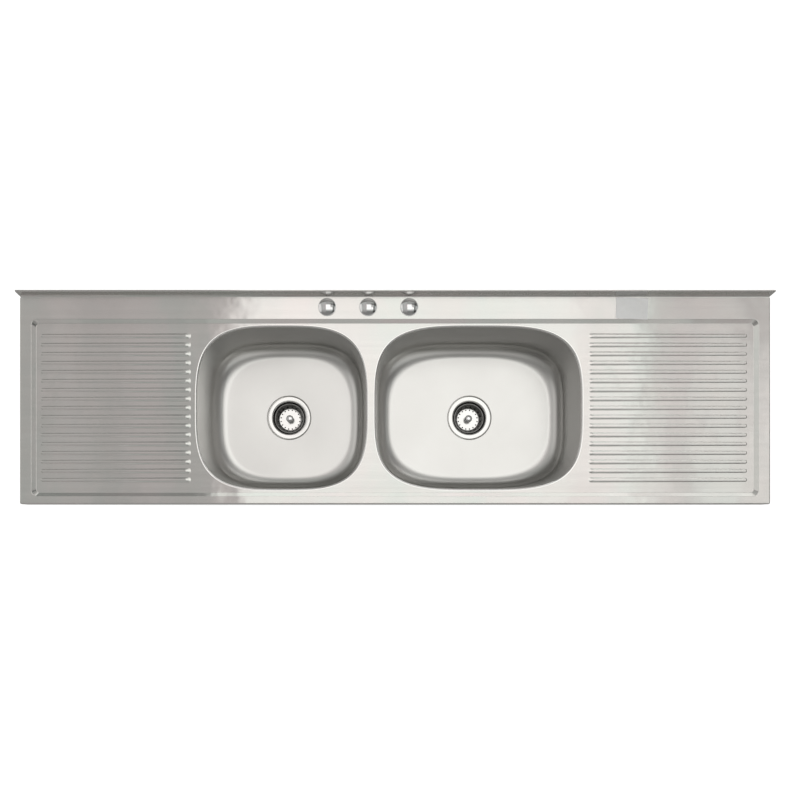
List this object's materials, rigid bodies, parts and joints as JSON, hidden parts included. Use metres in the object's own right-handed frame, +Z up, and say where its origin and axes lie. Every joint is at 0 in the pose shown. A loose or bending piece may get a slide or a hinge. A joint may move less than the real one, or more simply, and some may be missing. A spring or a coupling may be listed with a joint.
{
  "type": "double bowl double drainer sink top",
  "caption": "Stainless steel sit-on sink top with deep bowls side by side between ribbed drainers, a tap ledge with domed hole covers, a low upstand and basket strainers.",
  "frame": {"origin": "middle of the underside of the front return flange, which rests on the cabinet's front rail", "axes": "+X to the right as the user stands, +Y to the wall, +Z up; Z = 0 is the top of the cabinet"},
  "size_m": [1.83, 0.5154, 0.3821],
  "materials": {
    "pressed_steel": "fine lengthways grain, bright",
    "bowl_steel": "satin",
    "strainer_steel": "polished",
    "chrome": "mirror plated",
    "nut_metal": "dull nickel plated",
    "galvanised": "zinc coated",
    "rubber": "matt",
    "fibre": "matt pressed fibre",
    "white_plastic": "moulded",
    "sound_pad": "matt bitumen",
    "label_film": "thin pale film, blank"
  },
  "bodies": {
    "sink": {"worktop": "pressed_steel", "left_bowl": "bowl_steel", "right_bowl": "bowl_steel", "left_sound_pad": "sound_pad", "right_sound_pad": "sound_pad", "left_strainer_body": "strainer_steel", "right_strainer_body": "strainer_steel", "left_strainer_outlet": "nut_metal", "right_strainer_outlet": "nut_metal", "left_strainer_gasket": "rubber", "right_strainer_gasket": "rubber", "left_friction_ring": "fibre", "right_friction_ring": "fibre", "left_lock_nut": "nut_metal", "right_lock_nut": "nut_metal", "left_tailpiece_washer": "rubber", "right_tailpiece_washer": "rubber", "left_tailpiece": "chrome", "right_tailpiece": "chrome", "left_coupling_nut": "white_plastic", "right_coupling_nut": "white_plastic", "left_tap_hole_cover": "chrome", "centre_tap_hole_cover": "chrome", "right_tap_hole_cover": "chrome", "left_cover_seal": "rubber", "centre_cover_seal": "rubber", "right_cover_seal": "rubber", "left_cover_washer": "pressed_steel", "centre_cover_washer": "pressed_steel", "right_cover_washer": "pressed_steel", "left_cover_wing_nut": "nut_metal", "centre_cover_wing_nut": "nut_metal", "right_cover_wing_nut": "nut_metal", "left_drainer_channel_outer": "galvanised", "left_drainer_channel_inner": "galvanised", "right_drainer_channel_inner": "galvanised", "right_drainer_channel_outer": "galvanised", "left_rear_rail": "galvanised", "right_rear_rail": "galvanised", "earth_tag": "pressed_steel", "label": "label_film"},
    "left_stopper": {"left_basket_stopper": "rubber"},
    "left_strainer_basket": {"left_basket": "strainer_steel", "left_basket_knob": "chrome", "left_basket_post": "strainer_steel"},
    "right_stopper": {"right_basket_stopper": "rubber"},
    "right_strainer_basket": {"right_basket": "strainer_steel", "right_basket_knob": "chrome", "right_basket_post": "strainer_steel"}
  },
  "joints": [
    {"name": "left_basket_lift", "type": "slide", "parent": "sink", "child": "left_stopper", "axis": [0, 0, 1], "range_m": [0, 0.28]},
    {"name": "left_basket_turn", "type": "hinge", "parent": "left_stopper", "child": "left_strainer_basket", "pos_m": [-0.2772, 0.225, -0.1445], "axis": [0, 0, 1], "continuous": true},
    {"name": "right_basket_lift", "type": "slide", "parent": "sink", "child": "right_stopper", "axis": [0, 0, 1], "range_m": [0, 0.28]},
    {"name": "right_basket_turn", "type": "hinge", "parent": "right_stopper", "child": "right_strainer_basket", "pos_m": [0.2046, 0.225, -0.1445], "axis": [0, 0, 1], "continuous": true}
  ]
}
